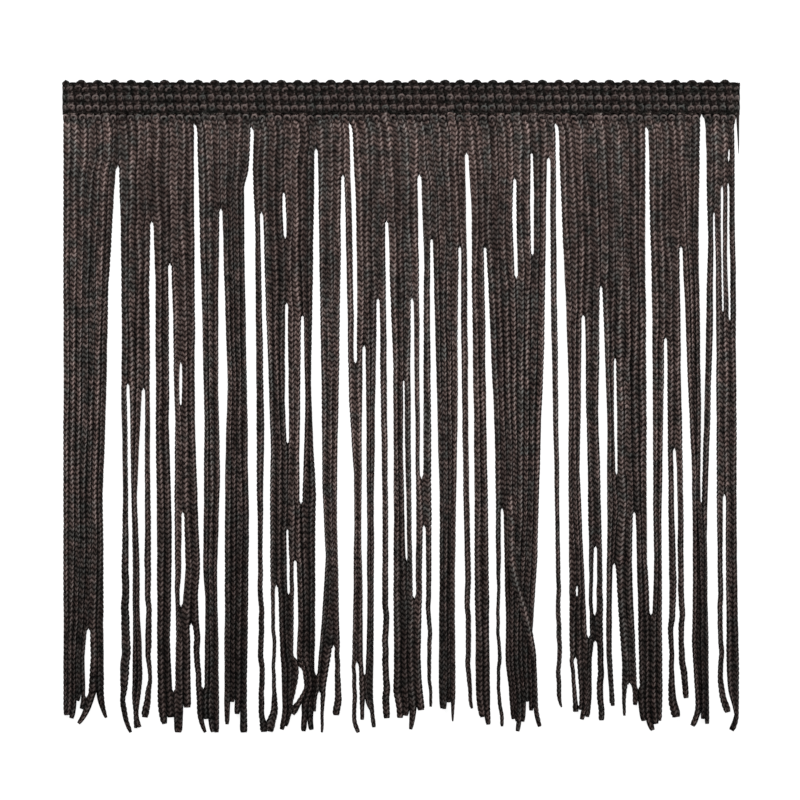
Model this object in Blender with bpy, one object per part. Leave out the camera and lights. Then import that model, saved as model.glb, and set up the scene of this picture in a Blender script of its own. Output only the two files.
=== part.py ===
"""Chainette fringe trim, lying face up on a flat surface.

A soft knitted cord is laid back and forth. Its turns make the small loops along the top edge, its
courses are bound side by side into a narrow heading by three rows of chain stitch, and its cut ends
hang below as the skirt. X runs along the heading, +Y up the trim, and Z is the height above the
surface. The origin is on the surface, under the middle of the trim.
"""

from collections import namedtuple

import bmesh
import bpy

MM = 0.001

# Driving dimensions, in millimetres. A depth is measured down from the top edge of the heading.
STRANDS = 82
PITCH = 1.925
DROP = 152.4
LENGTH = STRANDS * PITCH
CLEARANCE = 0.3

# The heading: each loop joins two courses, and a valley parts it from the next loop.
HEADING_DEPTH = 7.8
LOOP_VALLEY = 0.75
LOOP_SHOULDER = 0.38
COLUMNS_PER_LOOP = 4

# The binding chains lie in the heading's grooves.
GROOVE_HEIGHT = 1.2
CHAIN_BASE = GROOVE_HEIGHT + CLEARANCE
CHAIN_DEPTHS = {"upper": 2.65, "middle": 5.05, "lower": 7.3}
LINK_HALF_WIDTH = 0.36
LINK_HEIGHT = 0.7
NECK_HALF_WIDTH = 0.24
NECK_HEIGHT = 0.42

# The strip that holds the strands' roots, and the strands.
STRIP_TOP = HEADING_DEPTH + CLEARANCE
STRIP_DEPTH = 1.2
STRIP_BASE = 0.25
STRIP_HEIGHT = 0.8
ROOT_DEPTH = STRIP_TOP + 0.3
STRAND_WIDTH = 1.6
STRAND_HEIGHT = 1.3
STRAND_FILL = 0.86
CROWN = 0.58
TIP_TAPER = 0.8
SWAY_LENGTH = 16.0

# How far down the strands' sections lie. The last one is at each strand's own tip.
SECTION_DEPTHS = (ROOT_DEPTH, 13, 20, 29, 40, 53, 67, 81, 95, 108, 120, 132)

# The heading's face, from the top edge down: how high it stands at the middle of a course, and
# between two courses.
FaceRow = namedtuple("FaceRow", "depth crest valley")
FACE_ROWS = (
    FaceRow(0.0, 0.7, 0.6),
    FaceRow(0.8, 1.6, 1.2),
    FaceRow(1.5, 2.2, 1.5),
    FaceRow(2.05, GROOVE_HEIGHT, 1.0),
    FaceRow(3.25, GROOVE_HEIGHT, 1.0),
    FaceRow(3.95, 2.2, 1.5),
    FaceRow(4.5, GROOVE_HEIGHT, 1.0),
    FaceRow(5.6, GROOVE_HEIGHT, 1.0),
    FaceRow(6.2, 2.2, 1.5),
    FaceRow(6.75, GROOVE_HEIGHT, 1.0),
    FaceRow(HEADING_DEPTH, 1.0, 0.8),
)

# Where the skirt parts into bunches. A parting opens below the strand that it follows, is widest
# further down, and ends where it closes or at the tips. A lean is how far its middle lies to the
# right of its place in an even skirt.
Parting = namedtuple(
    "Parting", "after opens widest_at ends width foot_width top_lean mid_lean foot_lean"
)
PARTINGS = (
    Parting(7, 20, 96, 145, 5.1, 4.7, -0.9, -2.0, -1.8),
    Parting(8, 71, 114, 148, 1.0, 1.1, -0.3, 0.4, 0.5),
    Parting(10, 72, 112, 148, 1.6, 0.9, -0.6, -1.0, -0.4),
    Parting(11, 33, 82, 148, 1.5, 1.6, -0.5, -0.1, 0.1),
    Parting(13, 43, 98, 143, 1.2, 0.0, -0.1, 0.4, 0.8),
    Parting(16, 10, 86, 114, 2.4, 0.8, -0.1, 1.3, 1.5),
    Parting(16, 114, 121, 142, 1.7, 0.0, 1.5, 1.5, 1.9),
    Parting(19, 30, 70, 148, 2.3, 1.2, 0.2, 0.7, 0.4),
    Parting(23, 11, 42, 148, 2.6, 2.8, -0.2, -0.6, 0.0),
    Parting(24, 31, 100, 150, 2.2, 0.0, 0.0, 1.5, 1.4),
    Parting(31, 16, 70, 139, 2.1, 0.0, -0.6, -0.5, -0.6),
    Parting(34, 22, 98, 145, 3.9, 2.6, -0.1, 0.4, 0.5),
    Parting(35, 10, 33, 66, 1.1, 0.0, -0.2, 0.6, 0.9),
    Parting(36, 62, 105, 139, 1.5, 0.0, 1.0, 1.0, 1.3),
    Parting(38, 51, 98, 148, 2.0, 2.3, 0.4, 0.4, 0.4),
    Parting(39, 33, 68, 145, 1.6, 1.5, 0.4, 1.3, 1.8),
    Parting(42, 51, 96, 121, 1.3, 0.0, 0.6, 1.0, 1.1),
    Parting(43, 22, 44, 93, 1.3, 0.0, 0.4, 0.9, 0.9),
    Parting(44, 37, 103, 145, 2.1, 1.7, 1.3, 2.3, 2.1),
    Parting(48, 39, 112, 145, 2.5, 2.3, 0.2, 0.4, 0.5),
    Parting(49, 17, 86, 145, 1.3, 1.1, -0.1, 1.0, 1.5),
    Parting(51, 39, 98, 148, 2.2, 2.2, 0.5, 1.9, 1.9),
    Parting(55, 23, 32, 46, 1.1, 0.0, -0.4, -0.5, -0.1),
    Parting(57, 17, 28, 41, 0.9, 0.0, -0.3, -0.2, -0.2),
    Parting(59, 18, 107, 145, 4.2, 4.3, -0.3, -0.6, -0.6),
    Parting(60, 10, 75, 145, 2.6, 2.2, -0.3, 1.4, 1.7),
    Parting(63, 55, 91, 130, 1.9, 0.0, 0.2, 0.3, 1.4),
    Parting(65, 48, 77, 145, 1.9, 0.8, 0.5, 0.9, 1.4),
    Parting(67, 113, 131, 145, 2.0, 1.9, -0.3, 0.1, 0.2),
    Parting(69, 101, 112, 142, 1.2, 0.0, 0.5, 0.6, 1.5),
    Parting(71, 11, 98, 125, 1.7, 0.0, -0.4, 0.5, 1.0),
    Parting(73, 60, 107, 148, 1.8, 1.6, 0.2, 0.1, 0.2),
    Parting(75, 39, 86, 145, 2.4, 2.2, -0.1, 1.5, 1.6),
    Parting(78, 8, 36, 99, 2.3, 0.0, -0.9, -0.6, -1.1),
    Parting(79, 31, 107, 145, 2.4, 2.5, 0.0, -0.4, -0.6),
)
OPENING_CURVE = 0.6

# Where the cut tips lie, a row for each run of strands: the depth of its first and last tip, and how
# far the tips sway to the right.
Tuft = namedtuple("Tuft", "first last first_tip last_tip sway")
TUFTS = (
    Tuft(1, 2, 148.4, 148.0, 0.0),
    Tuft(3, 5, 146.8, 148.5, -0.3),
    Tuft(6, 7, 147.0, 149.1, 0.3),
    Tuft(8, 8, 152.4, 152.4, 0.4),
    Tuft(9, 11, 151.3, 148.9, 0.0),
    Tuft(12, 13, 150.4, 148.9, 0.2),
    Tuft(14, 15, 152.2, 146.1, 0.1),
    Tuft(16, 19, 152.3, 151.0, 0.2),
    Tuft(20, 23, 150.5, 152.4, 0.0),
    Tuft(24, 25, 152.3, 151.4, 0.3),
    Tuft(26, 29, 151.7, 148.1, -0.4),
    Tuft(30, 32, 151.8, 152.3, 0.2),
    Tuft(33, 34, 149.6, 148.4, 0.0),
    Tuft(35, 36, 152.4, 149.4, 0.3),
    Tuft(37, 39, 151.2, 149.1, 0.0),
    Tuft(40, 41, 148.6, 147.8, 0.2),
    Tuft(42, 44, 151.7, 146.4, 0.0),
    Tuft(45, 48, 146.9, 149.8, 0.2),
    Tuft(49, 51, 146.8, 150.8, 0.0),
    Tuft(52, 55, 151.0, 149.5, 0.0),
    Tuft(56, 59, 152.1, 151.0, 0.2),
    Tuft(60, 60, 146.5, 146.5, 0.3),
    Tuft(61, 64, 147.4, 148.5, 0.2),
    Tuft(65, 67, 149.6, 146.1, 0.0),
    Tuft(68, 70, 148.4, 149.7, 0.2),
    Tuft(71, 73, 151.9, 149.9, 0.0),
    Tuft(74, 75, 148.8, 144.4, 0.2),
    Tuft(76, 78, 150.8, 150.6, 0.3),
    Tuft(79, 80, 149.0, 147.7, 0.0),
    Tuft(81, 82, 152.0, 151.2, -0.4),
)

Finish = namedtuple("Finish", "colour roughness")
CORD_FINISH = Finish((0.045, 0.036, 0.032, 1.0), 0.75)
BOUND_FINISH = Finish((0.034, 0.027, 0.024, 1.0), 0.8)
STITCH_FINISH = Finish((0.022, 0.018, 0.016, 1.0), 0.8)


def clear_scene():
    for thing in list(bpy.data.objects):
        bpy.data.objects.remove(thing, do_unlink=True)


def new_collection(name):
    collection = bpy.data.collections.new(name)
    bpy.context.scene.collection.children.link(collection)
    return collection


def new_material(name, finish):
    material = bpy.data.materials.new(name)
    material.use_nodes = True
    shader = material.node_tree.nodes["Principled BSDF"]
    shader.inputs["Base Color"].default_value = finish.colour
    shader.inputs["Roughness"].default_value = finish.roughness
    shader.inputs["Metallic"].default_value = 0.0
    return material


def object_from(mesh, name, collection, material):
    """An object that holds this bmesh, whose sizes are in millimetres."""
    bmesh.ops.recalc_face_normals(mesh, faces=mesh.faces)
    bmesh.ops.scale(mesh, vec=(MM, MM, MM), verts=mesh.verts)
    data = bpy.data.meshes.new(name)
    mesh.to_mesh(data)
    mesh.free()
    data.materials.append(material)
    thing = bpy.data.objects.new(name, data)
    collection.objects.link(thing)
    return thing


def height_up(depth):
    """Y of a depth below the top edge, with the origin at the middle of the drop."""
    return DROP / 2 - depth


def add_loft(mesh, sections):
    """Skins a closed body through sections that have the same number of points."""
    rings = [[mesh.verts.new(point) for point in section] for section in sections]
    for ring, following in zip(rings, rings[1:]):
        for corner, point in enumerate(ring):
            before = corner - 1
            mesh.faces.new((ring[before], point, following[corner], following[before]))
    mesh.faces.new(rings[0])
    mesh.faces.new(rings[-1])


# The skirt


def parting_stations():
    """Each parting's stations (depth, width, lean), listed under the strand that it follows."""
    stations = {}
    for parting in PARTINGS:
        known = stations.setdefault(parting.after, [(ROOT_DEPTH, 0.0, 0.0)])
        if parting.opens > known[-1][0]:
            known.append((parting.opens, 0.0, parting.top_lean))
        known.append((parting.widest_at, parting.width, parting.mid_lean))
        known.append((parting.ends, parting.foot_width, parting.foot_lean))
    return stations


def width_between(start, end, share):
    """A parting widens fast where it opens, and narrows fast where it closes."""
    if start < end:
        return start + (end - start) * share**OPENING_CURVE
    return end + (start - end) * (1 - share) ** OPENING_CURVE


def width_and_lean(stations, depth):
    for (above, width, lean), (below, next_width, next_lean) in zip(stations, stations[1:]):
        if depth <= below:
            share = max(0.0, depth - above) / (below - above)
            return width_between(width, next_width, share), lean + (next_lean - lean) * share
    return stations[-1][1:]


def lanes_at(depth, stations):
    """The left and right edge of the lane that each strand has at this depth."""
    left_end = -LENGTH / 2
    edges = [(0, left_end, left_end)]
    for after in sorted(stations):
        width, lean = width_and_lean(stations[after], depth)
        middle = left_end + PITCH * after + lean
        edges.append((after, middle - width / 2, middle + width / 2))
    edges.append((STRANDS, -left_end, -left_end))
    lanes = []
    for (after, _, start), (up_to, end, _) in zip(edges, edges[1:]):
        lane = (end - start) / (up_to - after)
        lanes += [(start + lane * place, start + lane * (place + 1)) for place in range(up_to - after)]
    return lanes


def tips():
    """The depth and the sway of each strand's tip."""
    found = []
    for tuft in TUFTS:
        steps = max(1, tuft.last - tuft.first)
        for step in range(tuft.last - tuft.first + 1):
            depth = tuft.first_tip + (tuft.last_tip - tuft.first_tip) * step / steps
            found.append((depth, tuft.sway))
    return found


def strand_section(depth, lane, sway, taper):
    """Four corners: flat underneath, where the strand lies on the surface, and narrower on top."""
    half = min(STRAND_WIDTH, STRAND_FILL * (lane[1] - lane[0])) / 2 * taper
    middle = (lane[0] + lane[1]) / 2 + sway
    y = height_up(depth)
    return (
        (middle - half, y, 0.0),
        (middle + half, y, 0.0),
        (middle + half * CROWN, y, STRAND_HEIGHT),
        (middle - half * CROWN, y, STRAND_HEIGHT),
    )


def make_strands(collection, material):
    """All the strands as one mesh of separate closed bodies."""
    stations = parting_stations()
    ends = tips()
    mesh = bmesh.new()
    lanes = {depth: lanes_at(depth, stations) for depth in SECTION_DEPTHS}
    for number, (tip, sway) in enumerate(ends):
        sections = []
        for depth in SECTION_DEPTHS:
            share = max(0.0, depth - (tip - SWAY_LENGTH)) / SWAY_LENGTH
            sections.append(strand_section(depth, lanes[depth][number], sway * share**2, 1.0))
        sections.append(strand_section(tip, lanes_at(tip, stations)[number], sway, TIP_TAPER))
        add_loft(mesh, sections)
    return object_from(mesh, "strands_to_join", collection, material)


def make_fringe(collection, helpers, material):
    """The strip that holds the roots, joined with the strands into one body."""
    mesh = bmesh.new()
    bmesh.ops.create_cube(mesh, size=1.0)
    bmesh.ops.scale(mesh, vec=(LENGTH, STRIP_DEPTH, STRIP_HEIGHT), verts=mesh.verts)
    place = (0.0, height_up(STRIP_TOP + STRIP_DEPTH / 2), STRIP_BASE + STRIP_HEIGHT / 2)
    bmesh.ops.translate(mesh, vec=place, verts=mesh.verts)
    fringe = object_from(mesh, "chainette_fringe", collection, material)

    strands = make_strands(helpers, material)
    strands.hide_render = True
    strands.display_type = "WIRE"
    union = fringe.modifiers.new("join_strands", "BOOLEAN")
    union.operation = "UNION"
    union.solver = "EXACT"
    union.object = strands
    return fringe


# The heading


def loop_edge(column):
    """How far the top edge falls away from the loops' crowns at this column of points."""
    return (0.0, LOOP_SHOULDER, LOOP_VALLEY, LOOP_SHOULDER)[column % COLUMNS_PER_LOOP]


def make_heading(collection, material):
    """The bound courses: a grid of points raised into rows of bulging courses, flat underneath."""
    columns = 2 * STRANDS
    rows = len(FACE_ROWS) - 1
    mesh = bmesh.new()
    bmesh.ops.create_grid(mesh, x_segments=columns, y_segments=rows, size=0.5)
    for vert in mesh.verts:
        column = round((vert.co.x + 0.5) * columns)
        row = FACE_ROWS[round((0.5 - vert.co.y) * rows)]
        on_crest = column % 2 == 1
        fall = loop_edge(column) * max(0.0, 1 - row.depth / FACE_ROWS[2].depth)
        vert.co.x = (column / columns - 0.5) * LENGTH
        vert.co.y = height_up(row.depth + fall)
        vert.co.z = row.crest if on_crest else row.valley
    rim = [edge for edge in mesh.edges if edge.is_boundary]
    walls = bmesh.ops.extrude_edge_only(mesh, edges=rim)["geom"]
    for vert in (item for item in walls if isinstance(item, bmesh.types.BMVert)):
        vert.co.z = 0.0
    foot = [item for item in walls if isinstance(item, bmesh.types.BMEdge) and item.is_boundary]
    bmesh.ops.contextual_create(mesh, geom=foot)
    return object_from(mesh, "heading_band", collection, material)


# The binding chains


def chain_section(x, half_width, height):
    """Three corners, flat underneath, about the chain's own line."""
    return (
        (x, -half_width, 0.0),
        (x, half_width, 0.0),
        (x, 0.0, height),
    )


def make_chain(name, depth, collection, material):
    """A row of stitches, one swollen link over each course."""
    mesh = bmesh.new()
    sections = []
    for step in range(2 * STRANDS + 1):
        x = -LENGTH / 2 + step * PITCH / 2
        on_link = step % 2 == 1
        half_width = LINK_HALF_WIDTH if on_link else NECK_HALF_WIDTH
        height = LINK_HEIGHT if on_link else NECK_HEIGHT
        sections.append(chain_section(x, half_width, height))
    add_loft(mesh, sections)
    chain = object_from(mesh, f"binding_chain_{name}", collection, material)
    chain.location = (0.0, height_up(depth) * MM, CHAIN_BASE * MM)
    return chain


def main():
    clear_scene()
    parts = new_collection("chainette_fringe_trim")
    helpers = new_collection("helpers")
    cord = new_material("chainette_cord", CORD_FINISH)
    bound = new_material("bound_cord", BOUND_FINISH)
    stitch = new_material("binding_yarn", STITCH_FINISH)

    trim = bpy.data.objects.new("trim", None)
    parts.objects.link(trim)
    pieces = [make_heading(parts, bound), make_fringe(parts, helpers, cord)]
    for name, depth in CHAIN_DEPTHS.items():
        pieces.append(make_chain(name, depth, parts, stitch))
    for piece in pieces:
        piece.parent = trim


main()
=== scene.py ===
"""Chainette fringe trim: the knitted cord, its bound heading and its skirt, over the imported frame."""

import math
from collections import namedtuple

import bpy
import numpy as np
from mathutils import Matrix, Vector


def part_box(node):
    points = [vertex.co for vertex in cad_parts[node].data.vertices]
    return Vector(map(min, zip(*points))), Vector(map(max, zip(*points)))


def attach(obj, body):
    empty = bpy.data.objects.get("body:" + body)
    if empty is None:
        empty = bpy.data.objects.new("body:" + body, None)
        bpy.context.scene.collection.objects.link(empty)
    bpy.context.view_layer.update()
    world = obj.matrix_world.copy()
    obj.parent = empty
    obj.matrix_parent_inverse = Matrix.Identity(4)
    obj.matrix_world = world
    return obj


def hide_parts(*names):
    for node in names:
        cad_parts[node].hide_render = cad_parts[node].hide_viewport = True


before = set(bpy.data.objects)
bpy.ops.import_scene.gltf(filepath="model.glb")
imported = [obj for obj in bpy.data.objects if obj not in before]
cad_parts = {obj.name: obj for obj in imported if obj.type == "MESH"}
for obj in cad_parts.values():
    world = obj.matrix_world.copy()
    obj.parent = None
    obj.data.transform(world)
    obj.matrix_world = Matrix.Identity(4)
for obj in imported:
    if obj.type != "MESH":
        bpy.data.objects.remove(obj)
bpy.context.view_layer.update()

MM = 0.001

# The trim's own sizes, in millimetres, taken from the frame. A depth is measured down from the top.
band_low, band_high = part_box("heading_band")
skirt_low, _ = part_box("chainette_fringe")
STRANDS = 82
TOP = band_high.y / MM
LEFT = band_low.x / MM
LENGTH = (band_high.x - band_low.x) / MM
PITCH = LENGTH / STRANDS
DROP = TOP - skirt_low.y / MM
HEADING_DEPTH = (band_high.y - band_low.y) / MM
CHAIN_BOXES = {name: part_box(f"binding_chain_{name}") for name in ("upper", "middle", "lower")}

# The cord: a tube knitted on four needles. A stitch is as long as it is drawn in the skirt, and its
# two arms lean into a V whose point is towards the tips.
STITCH = 1.16
WALES = 4
RINGS_PER_STITCH = 3
V_RISE = 0.6
# How deep the rings of a stitch and the grooves between its arms lie, as shares of the half width.
RING_GROOVES = (0.16, 0.03, 0.0)
ARM_GROOVE = 0.11
ARM_ANGLE = 360 / WALES / 2
# How wide the cord is at most, pressed by its neighbours, and where a bunch has no room at all. A
# wide cord is a flat one, and its height stays between these two.
CORD_WIDTH = 2.7
NARROWEST_CORD = 1.15
SQUEEZED_CORD = 0.9
CORD_BULK = 1.95
CORD_HEIGHTS = (1.05, 1.4)
# Seen from above, the crests of the stitches are this share of a cord's width apart. Cords that lie
# side by side are this much wider than their room. Two bunches that touch lap by twice this much.
SEEN_WIDTH = 0.92
PRESSED = 1.08
LAP = 0.1
# Painted shade on a cord's sides: how dark a side is where it presses on a neighbour and where it is
# free, how far out from its middle the dark begins, and how steeply it comes.
CREVICE = 0.86
FREE_SIDE_SHADE = 0.5
CREVICE_FROM = 0.45
CREVICE_GAIN = 1.5
CREVICE_POWER = 1.5

# The knit's pattern, in millimetres: a bundle of filaments, and a length of evenly dyed yarn.
FILAMENT_BUNDLE = 0.35
DYE_PATCH = 2.4

# The points round a cord, in degrees from its upper side. The side that it lies on needs fewer.
AROUND = (-135, -90, -67.5, -45, -22.5, 0, 22.5, 45, 67.5, 90, 135, 180)

# The strands begin a little inside the heading, so that no slit shows between the two. They are
# joined into this many pieces, so that none is too heavy.
ROOT_LAP = 0.3
ROOT_DEPTH = HEADING_DEPTH - ROOT_LAP
SKIRT_PIECES = 5
# Everything that differs by chance is drawn from here, so that each run gives the same trim.
seeded = np.random.default_rng(31)

# The courses lean in the heading: each is this far to the left of the strand that it turns into.
LEAN_DEPTHS = (1.75, 4.15, 6.4, 8.65, 12.0)
LEANS = (1.39, 1.1, 0.87, 0.48, 0)

# Where the skirt parts into bunches. A parting opens below the strand that it follows, is widest
# further down, and ends where it closes or at the tips. A lean is how far its middle lies to the
# right of its place in an even skirt.
Parting = namedtuple(
    "Parting", "after opens widest_at ends width foot_width top_lean mid_lean foot_lean"
)
PARTINGS = (
    (5, 128, 135, 144, 1.6, 0, -3.7, -3.9, -4.1),
    (7, 20, 48, 76, 3.2, 3.6, -0.8, -1.4, -1.7),
    (7, 76, 96, 145, 4.8, 3.8, -1.7, -1.9, -2.1),
    (8, 71, 114, 139, 1.0, 0.7, -0.3, 0.4, 0.45),
    (8, 139, 144.5, 148, 1.75, 1.8, 0.45, -0.2, 0.2),
    (10, 72, 97, 112, 1.9, 1.2, -0.5, -1.1, -0.9),
    (10, 112, 123, 131, 1.4, 0.8, -0.9, -0.7, -0.55),
    (10, 131, 139.7, 148, 1.3, 1.0, -0.55, -0.1, -1.2),
    (11, 33, 48, 148, 1.5, 1.5, -0.5, -0.4, 0.2),
    (13, 43, 80, 106, 1.5, 0.6, -0.1, 0.4, 0.7),
    (13, 106, 131, 143, 1.5, 0, 0.7, 0.6, 0.8),
    (14, 66, 71, 76, 0.7, 0, 0.5, 0.5, 0.5),
    (14, 101, 114, 123, 1.0, 0, 1.0, 1.1, 0.5),
    (15, 127, 145, 148, 1.4, 1.4, 1.0, 1.7, 1.7),
    (16, 10, 80, 114, 2.3, 0.8, 0.12, 1.1, 1.5),
    (16, 114, 121, 142, 1.7, 0, 1.5, 1.5, 1.9),
    (19, 30, 70, 93, 2.3, 1.2, 0.2, 0.7, 0.6),
    (19, 93, 114, 148, 1.9, 1.2, 0.6, 0.3, 0.4),
    (23, 11, 21, 25, 1.1, 2.2, -0.2, -0.47, -0.89),
    (23, 25, 33, 57, 2.6, 2.4, -0.89, -0.72, -0.5),
    (23, 57, 102, 148, 2.0, 3.0, -0.5, 0.1, 0),
    (24, 31, 84, 110, 1.5, 1.9, 0.1, 1.5, 1.2),
    (24, 110, 124, 143, 1.9, 1.9, 1.2, 1.5, 1.7),
    (24, 143, 147, 150, 1.4, 0, 1.7, 1.5, 1.35),
    (25, 118, 137, 148, 1.4, 1.2, 1.7, 2.1, 2.5),
    (27, 26, 32, 37, 0.8, 0, -0.5, -0.3, -0.1),
    (27, 52, 75, 85, 0.9, 0, 0.2, 0.2, 0.5),
    (27, 105, 114, 120, 0.7, 0, 0.4, 0.6, 0.6),
    (28, 112, 127, 135.2, 1.1, 0, 0.3, 0.4, 0.2),
    (28, 137, 142, 146, 2.0, 0, 1.6, 1.5, 0),
    (29, 55, 75, 99, 1.3, 0, 0, 0.1, -0.3),
    (31, 16, 71, 97, 2.5, 1.7, -0.6, -0.6, 0.1),
    (31, 97, 111, 139, 2.6, 0, 0.1, 0.4, -0.5),
    (32, 143, 146, 148, 1.0, 1.0, -1.9, -2.0, -2.0),
    (33, 132, 140, 148, 1.9, 2.5, -0.4, -1.0, -1.5),
    (34, 22, 76, 92, 2.6, 4.0, -0.1, 0.1, 0.5),
    (34, 92, 104, 145, 4.1, 2.6, 0.5, 0.5, 0.7),
    (35, 10, 33, 66, 1.1, 0, -0.2, 0.6, 0.9),
    (35, 136, 145, 148, 0.9, 1.2, 1.3, 1.5, 1.6),
    (36, 62, 105, 139, 1.5, 0, 1.0, 1.0, 1.3),
    (37, 145, 148, 148, 1.2, 1.2, -0.5, -0.4, -0.4),
    (38, 51, 98, 148, 2.0, 2.3, 0.4, 0.4, 0.4),
    (39, 33, 68, 140, 1.6, 1.2, 0.4, 1.3, 1.6),
    (39, 140, 142.5, 147, 0.8, 1.5, 1.6, 1.65, 2.1),
    (41, 70, 89, 112, 0.6, 0, 0.6, 0.7, 1.3),
    (42, 51, 96, 121, 1.3, 0, 0.6, 1.0, 1.1),
    (43, 22, 44, 93, 1.3, 0, 0.4, 0.9, 0.9),
    (43, 104, 135, 145, 1.6, 1.3, 1.5, 1.5, 1.9),
    (44, 37, 103, 145, 2.1, 1.7, 1.3, 2.3, 2.1),
    (48, 39, 60, 80, 0.9, 1.2, 0.2, 0.1, 0.3),
    (48, 80, 115, 145, 2.4, 2.7, 0.3, 0.2, 0.5),
    (49, 17, 30, 86, 1.2, 1.3, -0.1, 0.4, 1.0),
    (49, 86, 112, 145, 1.1, 1.1, 1.0, 1.3, 1.5),
    (51, 39, 87, 148, 2.0, 1.7, 0.4, 1.8, 2.5),
    (52, 100, 112, 118, 0.9, 1.3, 2.4, 2.6, 2.5),
    (52, 118, 124, 136, 1.6, 1.1, 2.5, 2.5, 2.7),
    (52, 136, 142, 148, 2.1, 1.8, 2.7, 2.9, 3.4),
    (55, 23, 32, 46, 1.1, 0, -0.4, -0.5, -0.1),
    (57, 17, 28, 41, 0.9, 0, -0.3, -0.2, -0.2),
    (59, 18, 60, 103, 1.7, 4.1, -0.2, -0.4, -0.6),
    (59, 103, 131, 145, 5.0, 4.5, -0.6, -0.8, -0.5),
    (60, 10, 70, 100, 2.6, 2.2, -0.2, 1.3, 1.5),
    (60, 100, 130, 145, 2.0, 2.6, 1.5, 1.8, 2.1),
    (61, 118, 119, 120.7, 0.5, 0, 2.6, 2.6, 2.6),
    (61, 135, 141, 146, 0.9, 0, 2.3, 2.6, 3.0),
    (63, 55, 91, 130, 1.9, 0, 0.2, 0.3, 1.4),
    (64, 109, 116, 125, 1.0, 0, 1.1, 1.0, 0.9),
    (64, 131, 135, 146, 1.4, 1.4, 1.1, 0.9, 1.0),
    (65, 48, 78, 108, 2.0, 1.3, 0.5, 0.9, 1.3),
    (65, 108, 133, 145, 0.7, 1.3, 1.3, 1.3, 1.9),
    (67, 65, 77, 92, 0.8, 0, -0.1, 0, 0.2),
    (67, 113, 134, 145, 2.4, 1.8, -0.3, 0.3, 0.6),
    (68, 141, 143, 147, 1.6, 1.9, 1.3, 1.35, 1.45),
    (69, 101, 112, 142, 1.2, 0, 0.5, 0.6, 1.5),
    (71, 11, 49, 112, 1.5, 1.6, -0.4, 0.1, 0.5),
    (71, 112, 118, 125, 1.2, 0, 0.5, 0.6, 0.6),
    (73, 60, 107, 148, 1.8, 1.6, 0.2, 0.1, 0.2),
    (74, 86, 91, 116, 0.9, 0.5, 0.3, 0.5, 1.0),
    (74, 116, 133, 145, 1.3, 1.3, 1.0, 0.8, 0.9),
    (75, 39, 92, 118, 2.2, 2.1, -0.1, 1.4, 1.7),
    (75, 118, 131, 145, 1.8, 1.7, 1.7, 1.6, 2.5),
    (78, 7.9, 9.5, 12, 1.2, 1.4, -0.45, -0.45, -0.8),
    (78, 12, 36, 77, 2.3, 0.9, -0.8, -0.6, -0.8),
    (78, 77, 86, 99, 0.7, 0, -0.8, -1.0, -1.1),
    (79, 31, 56, 68, 0.7, 1.2, 0, 0.1, -0.1),
    (79, 68, 107, 145, 2.5, 2.3, -0.1, -0.5, -0.1),
    (80, 25, 40, 54, 0.5, 0, -0.1, -0.1, 0.1),
    (80, 97, 110, 139, 0.9, 0.8, 0.5, 0.4, 0.6),
    (80, 139, 143, 147, 0.8, 0.9, 0.6, 0.93, 1.8),
    (81, 16, 17, 19, 0.4, 0, -0.4, -0.4, -0.5),
    (81, 24, 40, 56, 0.7, 0, -0.6, -0.5, -0.2),
)
# A parting is this wide at once where it opens, and until it closes, but no more than this share of
# its full width. It gets there over a very short depth.
BLUNT_WIDTH = 0.75
BLUNT_SHARE = 0.7
BLUNT_STEP = 0.01
# The bright floor eats into the edges of a gap, so each gap is drawn this much narrower, down to the
# narrowest that still shows.
GLARE = 0.14
NARROWEST_GAP = 0.3
# The lanes of the strands are worked out at every such depth. A closed parting draws them to its
# place over these lengths above and below it.
LANE_STEP = 0.4
PULL_ABOVE = 22.0
PULL_BELOW = 12.0

# The last strand lies a little in from the heading's cut end.
RIGHT_EDGE_DEPTHS = (9.2, 10.2, 30.0, 48.0, 100.0, 120.0, 130.0)
RIGHT_EDGE_INSETS = (0.0, 1.05, 0.95, 0.65, 0.45, 0.3, 0.0)

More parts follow.
